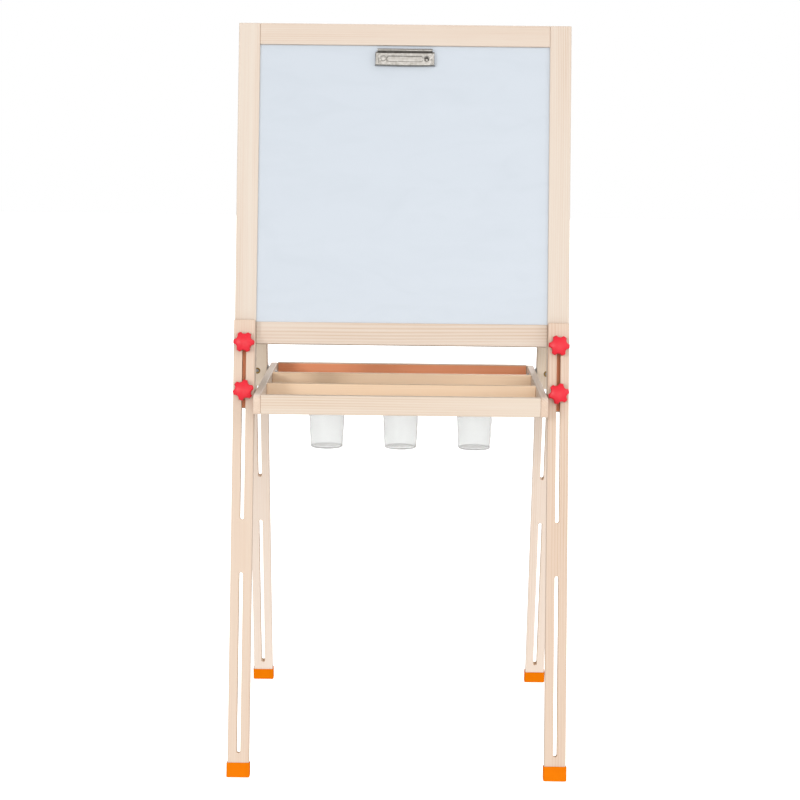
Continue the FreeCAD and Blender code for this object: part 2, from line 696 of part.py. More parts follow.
def build_tray():
    screws = tray_screws("tray_screws")
    floor_space = tray_floor_space("tray_floor_space")
    hole_height = pivot_world.z - size("tray_bottom")
    for side_name, side in SIDES:
        name = f"tray_{side_name}_side"
        left = min(side * tray_half, side * (tray_half - wood))
        plank = box(name, "Sheet.tray_wood", "Sheet.tray_length", "Sheet.tray_height",
                    Vector(left, -tray_end, 0))

        def top_end(edge):
            return along(edge, X_AXIS) and edge.CenterOfMass.z > size("tray_height") / 2

        ends = rounded(name, plank, size("tray_end_round"), top_end)
        pivot_start = Vector(side * (tray_half + 1), pivot_world.y, hole_height)
        pivot_hole = Part.makeCylinder(PIN_RADIUS + PIN_PLAY, wood + 2, pivot_start, X_AXIS * -side)
        pin_start = Vector(side * (tray_half + 1), -pivot_world.y, hole_height)
        pin_hole = Part.makeCylinder(PIN_RADIUS + 0.3, PIN_HOLE_DEPTH + 1, pin_start, X_AXIS * -side)
        holes = solids(f"{name}_holes", [pivot_hole, pin_hole])
        subpart(name, cut(name, ends, [screws, floor_space, holes]), TRAY)
    inner_width = "Sheet.tray_width - 2 * Sheet.tray_wood"
    inner_left = -tray_half + wood
    for name, face in rail_faces.items():
        corner = Vector(inner_left, face, 0)
        rail = wood_bar(name, inner_width, "Sheet.tray_wood", "Sheet.tray_height", corner)
        subpart(name, cut(name, rail, [screws, floor_space]), TRAY)
    dividers = []
    for number, face in enumerate(divider_faces):
        name = f"tray_divider{number}"
        corner = Vector(inner_left, face, floor_top)
        height = "Sheet.tray_height - Sheet.tray_floor_up - Sheet.tray_floor_thickness"
        divider = wood_bar(name, inner_width, "Sheet.divider_wood", height, corner)
        dividers.append(cut(name, divider, [screws]))
    subpart("tray_dividers", dividers, TRAY)
    reach_x = tray_half - wood + size("tray_floor_groove")
    reach_y = tray_end - wood + size("tray_floor_groove")
    floor = box(
        "tray_floor_sheet",
        "Sheet.tray_width - 2 * Sheet.tray_wood + 2 * Sheet.tray_floor_groove",
        "Sheet.tray_length - 2 * Sheet.tray_wood + 2 * Sheet.tray_floor_groove",
        "Sheet.tray_floor_thickness",
        Vector(-reach_x, -reach_y, size("tray_floor_up")),
    )
    holes = [
        cylinder(f"cup_hole{number}", "Sheet.cup_hole_radius", "Sheet.tray_floor_thickness + 2",
                 Vector(x, cup_row, size("tray_floor_up") - 1), Z_AXIS)
        for number, x in enumerate(cup_places.values())
    ]
    subpart("tray_floor", cut("tray_floor", floor, holes), TRAY)
    subpart("tray_screws", screws, TRAY)


# ---------------------------------------------------------------- cups
front_bay_back = -size("divider_offset") - size("divider_wood") / 2
cup_row = (-tray_end + wood + front_bay_back) / 2
cup_places = {"cup_left": -size("cup_pitch"), "cup_middle": 0.0, "cup_right": size("cup_pitch")}


def cup(name):
    """A tapered cup with a flange that rests on the tray's floor and a collar above it."""
    wall = size("cup_wall")
    cup_place = Vector(0, 0, -size("cup_depth"))
    outer = cone(f"{name}_outer", "Sheet.cup_base_radius", "Sheet.cup_top_radius", "Sheet.cup_depth", cup_place)
    flange = cylinder(f"{name}_flange", "Sheet.cup_rim_radius", "1.5", Vector(), Z_AXIS)
    collar = cylinder(f"{name}_collar", "Sheet.cup_top_radius", "Sheet.cup_collar", Vector(), Z_AXIS)
    body = joined(f"{name}_body", [outer, flange, collar])
    hollow_base = Vector(0, 0, -size("cup_depth") + 2.2)
    inner = cone(f"{name}_inner", "Sheet.cup_base_radius - Sheet.cup_wall",
                 "Sheet.cup_top_radius - Sheet.cup_wall", "Sheet.cup_depth + Sheet.cup_collar", hollow_base)
    recess = cylinder(f"{name}_recess", "Sheet.cup_base_radius - 3", "Sheet.cup_wall",
                      Vector(0, 0, -size("cup_depth") - 0.2), Z_AXIS)
    opened = cut(name, body, [inner, recess])
    return rounded(name, opened, 0.45, lambda edge: abs(edge.CenterOfMass.z + size("cup_depth")) < 0.01)


def build_cups():
    for name, x in cup_places.items():
        seat = Vector(x, cup_row, size("tray_bottom") + floor_top)
        subpart(name, cup(name), Placement(seat, Rotation()))


# ---------------------------------------------------------------- the whole easel
for board_name, board_placement, board_turn in BOARDS:
    board_frame(board_name, board_placement, board_turn)
subpart("hinge_pins", hinge_pins("hinge_pins"), FRONT)
build_clip()
for board_name, board_placement, board_turn in BOARDS:
    for side_name, world_side in SIDES:
        leg_and_foot(board_name, side_name, world_side * board_turn, board_placement)
        knobs(board_name, side_name, world_side * board_turn, board_placement)
build_tray()
build_cups()
doc.recompute()

failed = [piece.Label for piece in doc.Objects if "Invalid" in piece.State or "Error" in piece.State]
if failed:
    raise SystemExit(f"failed objects: {failed}")
for piece in subparts:
    if piece.Shape.isNull() or not piece.Shape.isValid() or not piece.Shape.Solids:
        raise SystemExit(f"bad shape: {piece.Label}")

os.makedirs("parts", exist_ok=True)
for piece in subparts:
    piece.Shape.exportStep(f"parts/{piece.Label}.step")
print(len(subparts), "sub-parts written; pivot at", pivot_world)
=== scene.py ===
import json
import math

import bmesh
import bpy
from mathutils import Matrix, Vector


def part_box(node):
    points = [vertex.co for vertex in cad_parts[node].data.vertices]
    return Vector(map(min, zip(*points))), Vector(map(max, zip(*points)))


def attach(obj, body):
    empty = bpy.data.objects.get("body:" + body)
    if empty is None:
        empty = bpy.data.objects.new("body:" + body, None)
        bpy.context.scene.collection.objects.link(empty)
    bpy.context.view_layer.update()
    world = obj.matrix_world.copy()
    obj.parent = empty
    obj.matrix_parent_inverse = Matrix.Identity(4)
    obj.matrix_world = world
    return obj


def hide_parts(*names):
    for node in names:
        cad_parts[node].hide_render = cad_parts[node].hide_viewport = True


# A double-sided kids easel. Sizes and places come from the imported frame, in metres. A board's pieces
# are worked out in that board's own upright space: x along the width, y = -depth outwards, z = 0 at the
# hinge axis and falling along the board.

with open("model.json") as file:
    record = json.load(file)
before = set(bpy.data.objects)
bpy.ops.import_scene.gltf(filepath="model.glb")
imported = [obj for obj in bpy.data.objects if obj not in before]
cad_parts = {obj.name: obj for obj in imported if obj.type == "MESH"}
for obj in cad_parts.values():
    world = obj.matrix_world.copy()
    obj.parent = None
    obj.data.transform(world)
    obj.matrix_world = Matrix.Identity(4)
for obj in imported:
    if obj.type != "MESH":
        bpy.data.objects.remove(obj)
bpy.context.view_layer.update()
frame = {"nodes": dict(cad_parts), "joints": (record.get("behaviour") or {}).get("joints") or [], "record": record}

MM = 0.001
record = frame["record"]
joints = {joint["name"]: joint for joint in frame["joints"]}
body_of_node = {node: body for body, nodes in record["behaviour"]["bodies"].items() for node in nodes}
slot_of_node = {part["node"]: part["material_slot"] for part in record["subparts"]}

hinge_point = Vector(joints["frame_fold"]["pos_m"])
tilt = math.asin(joints["front_left_leg_slide"]["axis"][1])
FRONT = Matrix.Translation(hinge_point) @ Matrix.Rotation(-tilt, 4, "X")
REAR = Matrix.Rotation(math.pi, 4, "Z") @ FRONT
BOARDS = {"front": FRONT, "rear": REAR}
SIDES = ("left", "right")
LEVEL = Matrix.Identity(4)
X_AXIS, Y_AXIS, Z_AXIS = Vector((1, 0, 0)), Vector((0, 1, 0)), Vector((0, 0, 1))

EDGE_ROUND = 1.4 * MM
ROUND_STEPS = 4
SLOT_WIDTH = 6.5 * MM
SLOT_LENGTH = 298 * MM
SLOT_STARTS = (34.75 * MM, 420.75 * MM)


def local_box(node, place):
    """The lowest and highest corner of a CAD node in the space of a placement."""
    back = place.inverted()
    points = [back @ vertex.co for vertex in frame["nodes"][node].data.vertices]
    low = Vector([min(point[axis] for point in points) for axis in range(3)])
    high = Vector([max(point[axis] for point in points) for axis in range(3)])
    return low, high


# ---------------------------------------------------------------- outlines
def rounded_path(corners, closed, steps=ROUND_STEPS):
    """The points of a path whose corners, each (a, b, radius), are rounded off."""
    points = []
    for number, (a, b, radius) in enumerate(corners):
        here = Vector((a, b))
        is_end = not closed and number in (0, len(corners) - 1)
        if is_end or radius == 0:
            points.append(here)
            continue
        before = (Vector(corners[number - 1][:2]) - here).normalized()
        after = (Vector(corners[(number + 1) % len(corners)][:2]) - here).normalized()
        half = before.angle(after) / 2
        centre = here + (before + after).normalized() * radius / math.sin(half)
        start = here + before * radius / math.tan(half) - centre
        finish = here + after * radius / math.tan(half) - centre
        first = math.atan2(start.y, start.x)
        sweep = (math.atan2(finish.y, finish.x) - first + math.pi) % (2 * math.pi) - math.pi
        for step in range(steps + 1):
            angle = first + sweep * step / steps
            points.append(centre + Vector((math.cos(angle), math.sin(angle))) * radius)
    return points


def rectangle(width, height, radius, steps=ROUND_STEPS):
    """A centred rectangle with round corners, anticlockwise."""
    a, b = width / 2, height / 2
    corners = [(-a, -b, radius), (a, -b, radius), (a, b, radius), (-a, b, radius)]
    return rounded_path(corners, True, steps)


def circle(a, b, radius, steps=32):
    turns = [2 * math.pi * step / steps for step in range(steps)]
    return [Vector((a + radius * math.cos(turn), b + radius * math.sin(turn))) for turn in turns]


def upright_slot(a, low, high, radius, steps=10):
    """A slot with round ends, anticlockwise."""
    points = []
    for end, start in ((high - radius, 0), (low + radius, math.pi)):
        for step in range(steps + 1):
            turn = start + math.pi * step / steps
            points.append(Vector((a + radius * math.cos(turn), end + radius * math.sin(turn))))
    return points


def inset(points, distance):
    """A closed anticlockwise outline moved inwards."""
    moved = []
    for number, here in enumerate(points):
        one = (here - points[number - 1]).normalized()
        two = (points[(number + 1) % len(points)] - here).normalized()
        first, second = Vector((-one.y, one.x)), Vector((-two.y, two.x))
        moved.append(here + (first + second) * distance / (1 + first.dot(second)))
    return moved


def quarter_round(radius, steps=ROUND_STEPS):
    """(inset, drop) pairs that round an edge, from the flat face to the wall."""
    turns = [math.pi / 2 * (1 - step / steps) for step in range(steps + 1)]
    return [(radius * (1 - math.cos(turn)), radius * (1 - math.sin(turn))) for turn in turns]


# ---------------------------------------------------------------- meshes
def ring(bm, points):
    return [bm.verts.new(point) for point in points]


def bridge(bm, first, second, material=0, closed=True):
    """Faces between two rings of as many points."""
    count = len(first)
    for number in range(count if closed else count - 1):
        after = (number + 1) % count
        face = bm.faces.new((first[number], first[after], second[after], second[number]))
        face.material_index = material


def loop_edges(bm, verts):
    return [bm.edges.get((vert, verts[number - 1])) for number, vert in enumerate(verts)]


def slab(bm, outline, thickness, rounding=EDGE_ROUND, holes=(), hole_rounding=0.5 * MM, hole_material=0):
    """A plate in the x-z plane, centred on y = 0, with round edges and holes through it."""
    faces = {-1: [], 1: []}
    for number, loop in enumerate([outline, *holes]):
        radius, sign, material = (hole_rounding, -1, hole_material) if number else (rounding, 1, 0)
        levels = [(offset * sign, drop - thickness / 2) for offset, drop in quarter_round(radius)]
        levels += [(offset, -y) for offset, y in reversed(levels)]
        rings = []
        for offset, y in levels:
            rings.append(ring(bm, [(point.x, y, point.y) for point in inset(loop, offset)]))
        for first, second in zip(rings, rings[1:]):
            bridge(bm, first, second, material)
        faces[-1] += loop_edges(bm, rings[0])
        faces[1] += loop_edges(bm, rings[-1])
    for edges in faces.values():
        bmesh.ops.triangle_fill(bm, use_beauty=True, edges=edges)


def lathe(bm, profile, steps=64, material=0):
    """A profile of (radius, height) points turned round the z axis."""
    rings = []
    for radius, height in profile:
        turns = [2 * math.pi * step / steps for step in range(steps)]
        rings.append(ring(bm, [(radius * math.cos(t), radius * math.sin(t), height) for t in turns]))
    for first, second in zip(rings, rings[1:]):
        bridge(bm, first, second, material)


def merge(whole, bm):
    """Moves a mesh into another."""
    mesh = bpy.data.meshes.new("merged")
    bm.to_mesh(mesh)
    bm.free()
    whole.from_mesh(mesh)
    bpy.data.meshes.remove(mesh)


def add_piece(name, bm, place, nodes, materials):
    """A finished mesh as an object that stands for CAD nodes, rides their body and has the materials given."""
    bmesh.ops.remove_doubles(bm, verts=bm.verts, dist=0.002 * MM)
    bmesh.ops.recalc_face_normals(bm, faces=bm.faces)
    for face in bm.faces:
        face.smooth = True
    mesh = bpy.data.meshes.new(name)
    bm.to_mesh(mesh)
    bm.free()
    for material in materials:
        mesh.materials.append(material)
    piece = bpy.data.objects.new(name, mesh)
    bpy.context.scene.collection.objects.link(piece)
    piece.matrix_world = place
    normals = piece.modifiers.new("Normals", "WEIGHTED_NORMAL")
    normals.keep_sharp = False
    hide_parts(*nodes)
    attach(piece, body_of_node[nodes[0]])
    return piece


# ---------------------------------------------------------------- materials
class Finish:
    """A procedural material, built up from node helpers."""

    def __init__(self, name, **inputs):
        self.material = bpy.data.materials.new(name)
        self.material.use_nodes = True
        self.tree = self.material.node_tree
        self.shader = self.tree.nodes["Principled BSDF"]
        coordinates = self.add("ShaderNodeTexCoord").outputs
        self.point, self.normal = coordinates["Object"], coordinates["Normal"]
        for socket, value in inputs.items():
            self.shader.inputs[socket.replace("_", " ")].default_value = value

    def add(self, kind, inputs=(), **settings):
        node = self.tree.nodes.new(kind)
        for setting, value in settings.items():
            setattr(node, setting, value)
        for socket, value in dict(inputs).items():
            if isinstance(value, bpy.types.NodeSocket):
                self.tree.links.new(value, node.inputs[socket])
            else:
                node.inputs[socket].default_value = value
        return node

    def sum(self, value, factor, extra):
        """value * factor + extra"""
        sockets = {0: value, 1: factor, 2: extra}
        return self.add("ShaderNodeMath", sockets, operation="MULTIPLY_ADD").outputs[0]

    def stretched(self, scale):
        inputs = {0: self.point, 1: scale}
        return self.add("ShaderNodeVectorMath", inputs, operation="MULTIPLY").outputs[0]

    def noise(self, scale, detail=2.0, roughness=0.5, distortion=0.0):
        """Noise with its own scale along each axis, in cycles per metre."""
        inputs = {
            "Vector": self.stretched(scale),
            "Scale": 1.0,
            "Detail": detail,
            "Roughness": roughness,
            "Distortion": distortion,
        }
        return self.add("ShaderNodeTexNoise", inputs).outputs[0]

    def ramp(self, value, *stops):
        """A colour ramp with stops of (position, colour), or of (position, level of grey)."""
        node = self.add("ShaderNodeValToRGB", {0: value})
        elements = node.color_ramp.elements
        while len(elements) < len(stops):
            elements.new(0.5)
        for element, (position, level) in zip(elements, stops):
            element.position = position
            element.color = (level, level, level, 1) if isinstance(level, float) else (*level, 1)
        return node.outputs[0]

    def link(self, socket, value):
        self.tree.links.new(value, self.shader.inputs[socket])

    def bump(self, height, depth):
        """Relief of a given depth in metres."""
        node = self.add("ShaderNodeBump", {"Height": height, "Distance": depth, "Strength": 1.0})
        self.link("Normal", node.outputs[0])


STUDIO_GAIN = 1.44


def colour(red, green, blue):
    """The linear colour of a surface that looks like these sRGB parts of 0 to 255 under the studio light."""
    parts = [part / 255 for part in (red, green, blue)]
    linear = [part / 12.92 if part <= 0.04045 else ((part + 0.055) / 1.055) ** 2.4 for part in parts]
    return [part / STUDIO_GAIN for part in linear]


def wood(name, pale, middle, late, ring_gap=3.4 * MM, ring_strength=0.55):
    """Planed softwood, its grain along z: growth rings round an offset pith, fibres, tones, end grain."""
    finish = Finish(name, Specular_IOR_Level=0.3)
    across = finish.add("ShaderNodeVectorMath", {0: finish.stretched((1.0, 1.0, 0.012))}, operation="LENGTH")
    sway = finish.noise((7.0, 7.0, 1.1), detail=1.0)
    rings = finish.sum(across.outputs["Value"], 1 / ring_gap, 0.0)
    rings = finish.sum(sway, 5.0, rings)
    part = finish.add("ShaderNodeMath", {0: rings}, operation="FRACT").outputs[0]
    late_wood = finish.ramp(part, (0.0, 0.25), (0.3, 0.0), (0.82, 1.0), (1.0, 0.25))
    clear = finish.ramp(finish.noise((26.0, 26.0, 1.6), detail=1.0), (0.42, 0.06), (0.68, 1.0))
    late_wood = finish.sum(late_wood, clear, 0.0)
    fibres = finish.noise((900.0, 900.0, 14.0), detail=3.0, roughness=0.6)
    streaks = finish.noise((170.0, 170.0, 2.2), detail=2.0)
    broad = finish.noise((10.0, 10.0, 0.7), detail=1.0)
    pores = finish.noise((700.0, 700.0, 700.0), detail=3.0)
    facing = finish.add("ShaderNodeSeparateXYZ", {0: finish.normal}).outputs["Z"]
    speckle = finish.sum(finish.sum(facing, facing, 0.0), pores, 0.0)
    tone = finish.sum(late_wood, ring_strength, -0.5)
    for layer, share in ((fibres, 0.45), (streaks, 0.45), (broad, 0.6), (speckle, 1.2)):
        tone = finish.sum(layer, share, tone)
    finish.link("Base Color", finish.ramp(tone, (0.0, pale), (0.45, middle), (1.0, late)))
    finish.link("Roughness", finish.sum(fibres, 0.25, 0.42))
    relief = finish.sum(late_wood, 0.35, fibres)
    finish.bump(relief, 0.06 * MM)
    return finish.material


def plastic(name, base, shade, gloss, grain=0.02 * MM, **inputs):
    """Moulded plastic with a fine grain, slight flow shading and uneven gloss."""
    finish = Finish(name, **inputs)
    flow = finish.noise((55.0, 55.0, 55.0), detail=2.0, distortion=0.6)
    fine = finish.noise((2600.0, 2600.0, 2600.0), detail=2.0)
    finish.link("Base Color", finish.ramp(flow, (0.3, base), (0.8, shade)))
    finish.link("Roughness", finish.sum(fine, 0.16, gloss))
    finish.bump(fine, grain)
    return finish.material


def metal(name, base, tarnish, gloss, streak=(60.0, 1800.0, 1800.0)):
    """Plated metal with drawn marks, cloudy tarnish and small pits."""
    finish = Finish(name, Metallic=1.0)
    marks = finish.noise(streak, detail=3.0, roughness=0.65)
    cloud = finish.noise((180.0, 180.0, 180.0), detail=3.0)
    finish.link("Base Color", finish.ramp(cloud, (0.35, base), (0.75, tarnish)))
    finish.link("Roughness", finish.sum(marks, 0.2, finish.sum(cloud, 0.12, gloss)))
    finish.bump(marks, 0.012 * MM)
    return finish.material


def whiteboard_finish():
    """Satin dry-wipe coating: a soft ripple, and the ghosts of wiped strokes."""
    finish = Finish("whiteboard_coat", Coat_Weight=0.12, Coat_Roughness=0.25)
    ghosts = finish.noise((9.0, 9.0, 26.0), detail=3.0, distortion=1.4)
    swipes = finish.noise((4.0, 40.0, 60.0), detail=2.0)
    white, smudged = colour(209, 217, 226), colour(206, 214, 223)
    finish.link("Base Color", finish.ramp(ghosts, (0.45, white), (0.8, smudged)))
    finish.link("Roughness", finish.sum(swipes, 0.18, 0.24))
    finish.bump(finish.noise((420.0, 420.0, 420.0), detail=1.0), 0.01 * MM)
    return finish.material


def chalkboard_finish():
    """Matt slate paint with the dust of rubbed-out chalk."""
    finish = Finish("chalkboard_paint", Specular_IOR_Level=0.25)
    cloud = finish.noise((5.0, 5.0, 8.0), detail=4.0, roughness=0.6, distortion=1.2)
    strokes = finish.noise((14.0, 60.0, 130.0), detail=4.0, roughness=0.7)
    dust = finish.sum(cloud, 0.9, finish.sum(strokes, 0.5, -0.45))
    finish.link("Base Color", finish.ramp(dust, (0.1, colour(30, 38, 36)), (0.7, colour(92, 99, 97))))
    finish.link("Roughness", finish.sum(strokes, 0.2, 0.72))
    finish.bump(finish.noise((1500.0, 1500.0, 1500.0), detail=2.0), 0.04 * MM)
    return finish.material


def cup_finish():
    """Clear plastic with a light frosting and faint flow lines."""
    finish = Finish("cup_clear", IOR=1.3, Transmission_Weight=0.85)
    flow = finish.noise((40.0, 40.0, 9.0), detail=2.0)
    fine = finish.noise((1700.0, 1700.0, 1700.0), detail=2.0)
    finish.link("Base Color", finish.ramp(flow, (0.3, (0.81, 0.815, 0.81)), (0.8, (0.78, 0.785, 0.78))))
    finish.link("Roughness", finish.sum(fine, 0.12, 0.06))
    finish.bump(fine, 0.006 * MM)
    return finish.material


FINISHES = {
    "pine_front": wood("pine_front", colour(240, 227, 212), colour(234, 214, 196), colour(218, 188, 160)),
    "pine_rear": wood("pine_rear", colour(252, 238, 219), colour(247, 227, 204), colour(231, 201, 170)),
    "pine_leg": wood("pine_leg", colour(240, 219, 199), colour(234, 207, 184), colour(214, 178, 148)),
    "pine_tray": wood("pine_tray", colour(244, 229, 212), colour(238, 217, 196), colour(220, 186, 154)),
    "tray_ply": wood("tray_ply", colour(240, 222, 194), colour(232, 209, 176), colour(214, 182, 146), 9 * MM),
    "whiteboard_face": whiteboard_finish(),
    "chalkboard_face": chalkboard_finish(),
    "orange_cap": plastic(
        "orange_cap", colour(252, 131, 0), colour(247, 125, 0), 0.5, Specular_IOR_Level=0.03
    ),
    "red_knob": plastic("red_knob", colour(250, 42, 60), colour(242, 34, 52), 0.3, Specular_IOR_Level=0.3),
    "clear_cup": cup_finish(),
    "clip_nickel": metal("clip_nickel", colour(184, 180, 174), colour(152, 147, 140), 0.2),
    "insert_brass": metal("insert_brass", colour(196, 164, 104), colour(150, 116, 66), 0.22),
    "zinc_steel": metal("zinc_steel", colour(190, 191, 192), colour(150, 150, 148), 0.24),
}
# A deep orange copy of the pine: painted shade for the strip of each stile's face seen through the leg slots.
stile_shade = wood("stile_painted_shade", colour(268, 176, 128), colour(252, 152, 104), colour(222, 118, 74))
# A warmer orange copy of the leg pine: painted shade for the walls of the leg slots.
slot_painted_shade = wood("slot_painted_shade", colour(243, 222, 196), colour(236, 205, 172), colour(216, 172, 134))
# A paler copy of the leg pine: painted light for the rear legs and the tray sides, which sit in shade.
leg_painted_light = wood("leg_painted_light", colour(256, 240, 226), colour(252, 231, 213), colour(236, 208, 184))
# A paler copy of the tray pine: painted light for the dividers, which sit in shade inside the tray.
divider_painted_light = wood("divider_painted_light", colour(280, 250, 218), colour(274, 240, 204), colour(256, 212, 170))
# A deep orange copy of the pine: painted shade for the inner face of the tray's back rail.
back_rail_painted_shade = wood("back_rail_painted_shade", colour(280, 196, 152), colour(276, 178, 130), colour(250, 140, 94))


# ---------------------------------------------------------------- carving and places
def temporary(bm):
    mesh = bpy.data.meshes.new("temporary")
    bmesh.ops.recalc_face_normals(bm, faces=bm.faces)
    bm.to_mesh(mesh)
    bm.free()
    piece = bpy.data.objects.new("temporary", mesh)
    bpy.context.scene.collection.objects.link(piece)
    return piece


def evaluated(piece, *others):
    """The mesh of a temporary object after its modifiers; the objects are removed."""
    graph = bpy.context.evaluated_depsgraph_get()
    bm = bmesh.new()
    bm.from_mesh(piece.evaluated_get(graph).to_mesh())
    for spent in (piece, *others):
        bpy.data.objects.remove(spent)
    return bm


def carved(bm, tool):
    """A mesh with another cut away from it."""
    body, cutter = temporary(bm), temporary(tool)
    cutting = body.modifiers.new("Cut", "BOOLEAN")
    cutting.operation = "DIFFERENCE"
    cutting.solver = "EXACT"
    cutting.object = cutter
    return evaluated(body, cutter)


def rods(places, direction, radius, depth, steps=32):
    """Round cutters that reach to both sides of each place along a direction."""
    bm = bmesh.new()
    turn = direction.to_track_quat("Z", "Y").to_matrix().to_4x4()
    for place in places:
        bmesh.ops.create_cone(bm, cap_ends=True, segments=steps, radius1=radius, radius2=radius,
                              depth=2 * depth, matrix=Matrix.Translation(place) @ turn)
    return bm


def islands(node, place):
    """The box of each separate solid in a CAD node, in the space of a placement."""
    bm = bmesh.new()
    bm.from_mesh(frame["nodes"][node].data)
    bmesh.ops.remove_doubles(bm, verts=bm.verts, dist=0.001 * MM)
    back = place.inverted()
    seen = set()
    boxes = []
    for start in bm.verts:
        if start in seen:
            continue
        seen.add(start)
        queue = [start]
        for vert in queue:
            fresh = [edge.other_vert(vert) for edge in vert.link_edges if edge.other_vert(vert) not in seen]
            seen.update(fresh)
            queue.extend(fresh)
        points = [back @ vert.co for vert in queue]
        low = Vector([min(point[axis] for point in points) for axis in range(3)])
        high = Vector([max(point[axis] for point in points) for axis in range(3)])
        boxes.append((low, high))
    bm.free()
    return boxes


def side_screws(node, place):
    """Where the heads of sideways screws lie, as (centre of the head, outward direction)."""
    heads = []
    for low, high in islands(node, place):
        middle = (low + high) / 2
        sign = math.copysign(1, middle.x)
        outermost = sign * max(abs(low.x), abs(high.x))
        heads.append((Vector((outermost, middle.y, middle.z)), X_AXIS * sign))
    return heads


# ---------------------------------------------------------------- bars
ALONG_X = Matrix.Rotation(math.pi / 2, 4, "Y")
ALONG_Y = Matrix(((0, 1, 0), (0, 0, 1), (1, 0, 0))).to_4x4()
FLAT = Matrix(((0, 0, 1), (1, 0, 0), (0, 1, 0))).to_4x4()
GRAIN_START = Vector((0.055, 0.034, 0.2))
GRAIN_STEP = Vector((0.037, 0.019, 0.83))
GRAIN_SPAN = Vector((0.09, 0.07, 7.0))
SCREW_POCKET_RADIUS = 3.75 * MM
TRAY_POCKET_RADIUS = 0.82 * SCREW_POCKET_RADIUS
SCREW_POCKET_DEPTH = 2.0 * MM
BORE_PLAY = 0.15 * MM
PIVOT_RADIUS = 3.1 * MM
TRAY_END_ROUND = 12 * MM
TRAY_END_CORNER = 2 * MM
CUP_HOLE_RADIUS = 31.6 * MM
# The size of the strip of painted shade on each stile's front face.
SHADE_STRIP_HALF_WIDTH = 4.6 * MM
SHADE_STRIP_END = 20 * MM
bars_made = []


def paint_shade_strip(bm, half_width, low, high):
    """Gives the bar's second material, a painted shade, to a strip of the face on its -y side."""
    for spot, across in ((-half_width, X_AXIS), (half_width, X_AXIS), (low, Z_AXIS), (high, Z_AXIS)):
        geometry = [*bm.verts, *bm.edges, *bm.faces]
        bmesh.ops.bisect_plane(bm, geom=geometry, plane_co=across * spot, plane_no=across)
    bm.normal_update()
    for face in bm.faces:
        middle = face.calc_center_median()
        if face.normal.y < -0.9 and abs(middle.x) < half_width and low < middle.z < high:
            face.material_index = 1


def add_bar(name, bm, spot, node, material=None, second=None):
    """A wooden piece whose mesh lies off its origin by its own step, so that each bar has its own grain."""
    number = len(bars_made)
    bars_made.append(name)
    steps = [(step * number) % span for step, span in zip(GRAIN_STEP, GRAIN_SPAN)]
    offset = GRAIN_START + Vector(steps)
    bmesh.ops.translate(bm, verts=bm.verts, vec=offset)
    # The second material is a painted shade; by default it is the slot walls' painted shade.
    materials = [material or FINISHES[slot_of_node[node]], second or slot_painted_shade]
    return add_piece(name, bm, spot @ Matrix.Translation(-offset), [node], materials)


def bar_mesh(extent, outline=None, holes=(), hole_material=0):
    bm = bmesh.new()
    shape = outline or rectangle(extent.x, extent.z, EDGE_ROUND)
    slab(bm, shape, extent.y, holes=holes, hole_material=hole_material)
    return bm


def add_plain_bar(node, place, material=None, **shape):
    """A bar in the box of its CAD node, in a space whose z runs along the grain."""
    low, high = local_box(node, place)
    bm = bar_mesh(high - low, **shape)
    return add_bar(node + "_wood", bm, place @ Matrix.Translation((low + high) / 2), node, material)


for board, place in BOARDS.items():
    inserts = islands(f"{board}_inserts", place)
    heads = side_screws(f"{board}_frame_screws", place)
    # The rear legs get the paler copy of the leg pine: painted light.
    leg_finish = FINISHES["pine_leg"] if board == "front" else leg_painted_light
    for side in SIDES:
        stile = f"{board}_{side}_stile"
        low, high = local_box(stile, place)
        middle = (low + high) / 2
        bores = []
        for insert_low, insert_high in inserts:
            centre = (insert_low + insert_high) / 2
            radius = (insert_high.x - insert_low.x) / 2 + BORE_PLAY
            if low.x < centre.x < high.x:
                bores.append(circle(centre.x - middle.x, centre.z - middle.z, radius))
        bm = bar_mesh(high - low, holes=bores)
        pockets = [head - middle for head, outwards in heads if head.x * middle.x > 0]
        bm = carved(bm, rods(pockets, X_AXIS, SCREW_POCKET_RADIUS, SCREW_POCKET_DEPTH))
        # The strip of the stile's front face seen through the leg slots gets a deep orange painted shade.
        covered = local_box(f"{board}_{side}_leg", place)[1].z - SHADE_STRIP_END
        paint_shade_strip(bm, SHADE_STRIP_HALF_WIDTH, low.z - middle.z + EDGE_ROUND, covered - middle.z)
        add_bar(stile + "_wood", bm, place @ Matrix.Translation(middle), stile, second=stile_shade)
        leg = f"{board}_{side}_leg"
        low, high = local_box(leg, place)
        half = (high.z - low.z) / 2
        slots = [
            upright_slot(0, half - start - SLOT_LENGTH, half - start, SLOT_WIDTH / 2) for start in SLOT_STARTS
        ]
        # The slot walls take the bar's second material, a painted shade.
        add_plain_bar(leg, place, leg_finish, holes=slots, hole_material=1)
    for rail in ("top_rail", "bottom_rail"):
        add_plain_bar(f"{board}_{rail}", place @ ALONG_X)


# ---------------------------------------------------------------- boards
PANEL_CORNER = 2 * MM
PANEL_EDGE = 0.3 * MM

for node, place in (("whiteboard", FRONT), ("chalkboard", REAR)):
    low, high = local_box(node, place)
    bm = bmesh.new()
    slab(bm, rectangle(high.x - low.x, high.z - low.z, PANEL_CORNER), high.y - low.y, PANEL_EDGE)
    spot = place @ Matrix.Translation((low + high) / 2)
    add_piece(node + "_panel", bm, spot, [node], [FINISHES[slot_of_node[node]]])


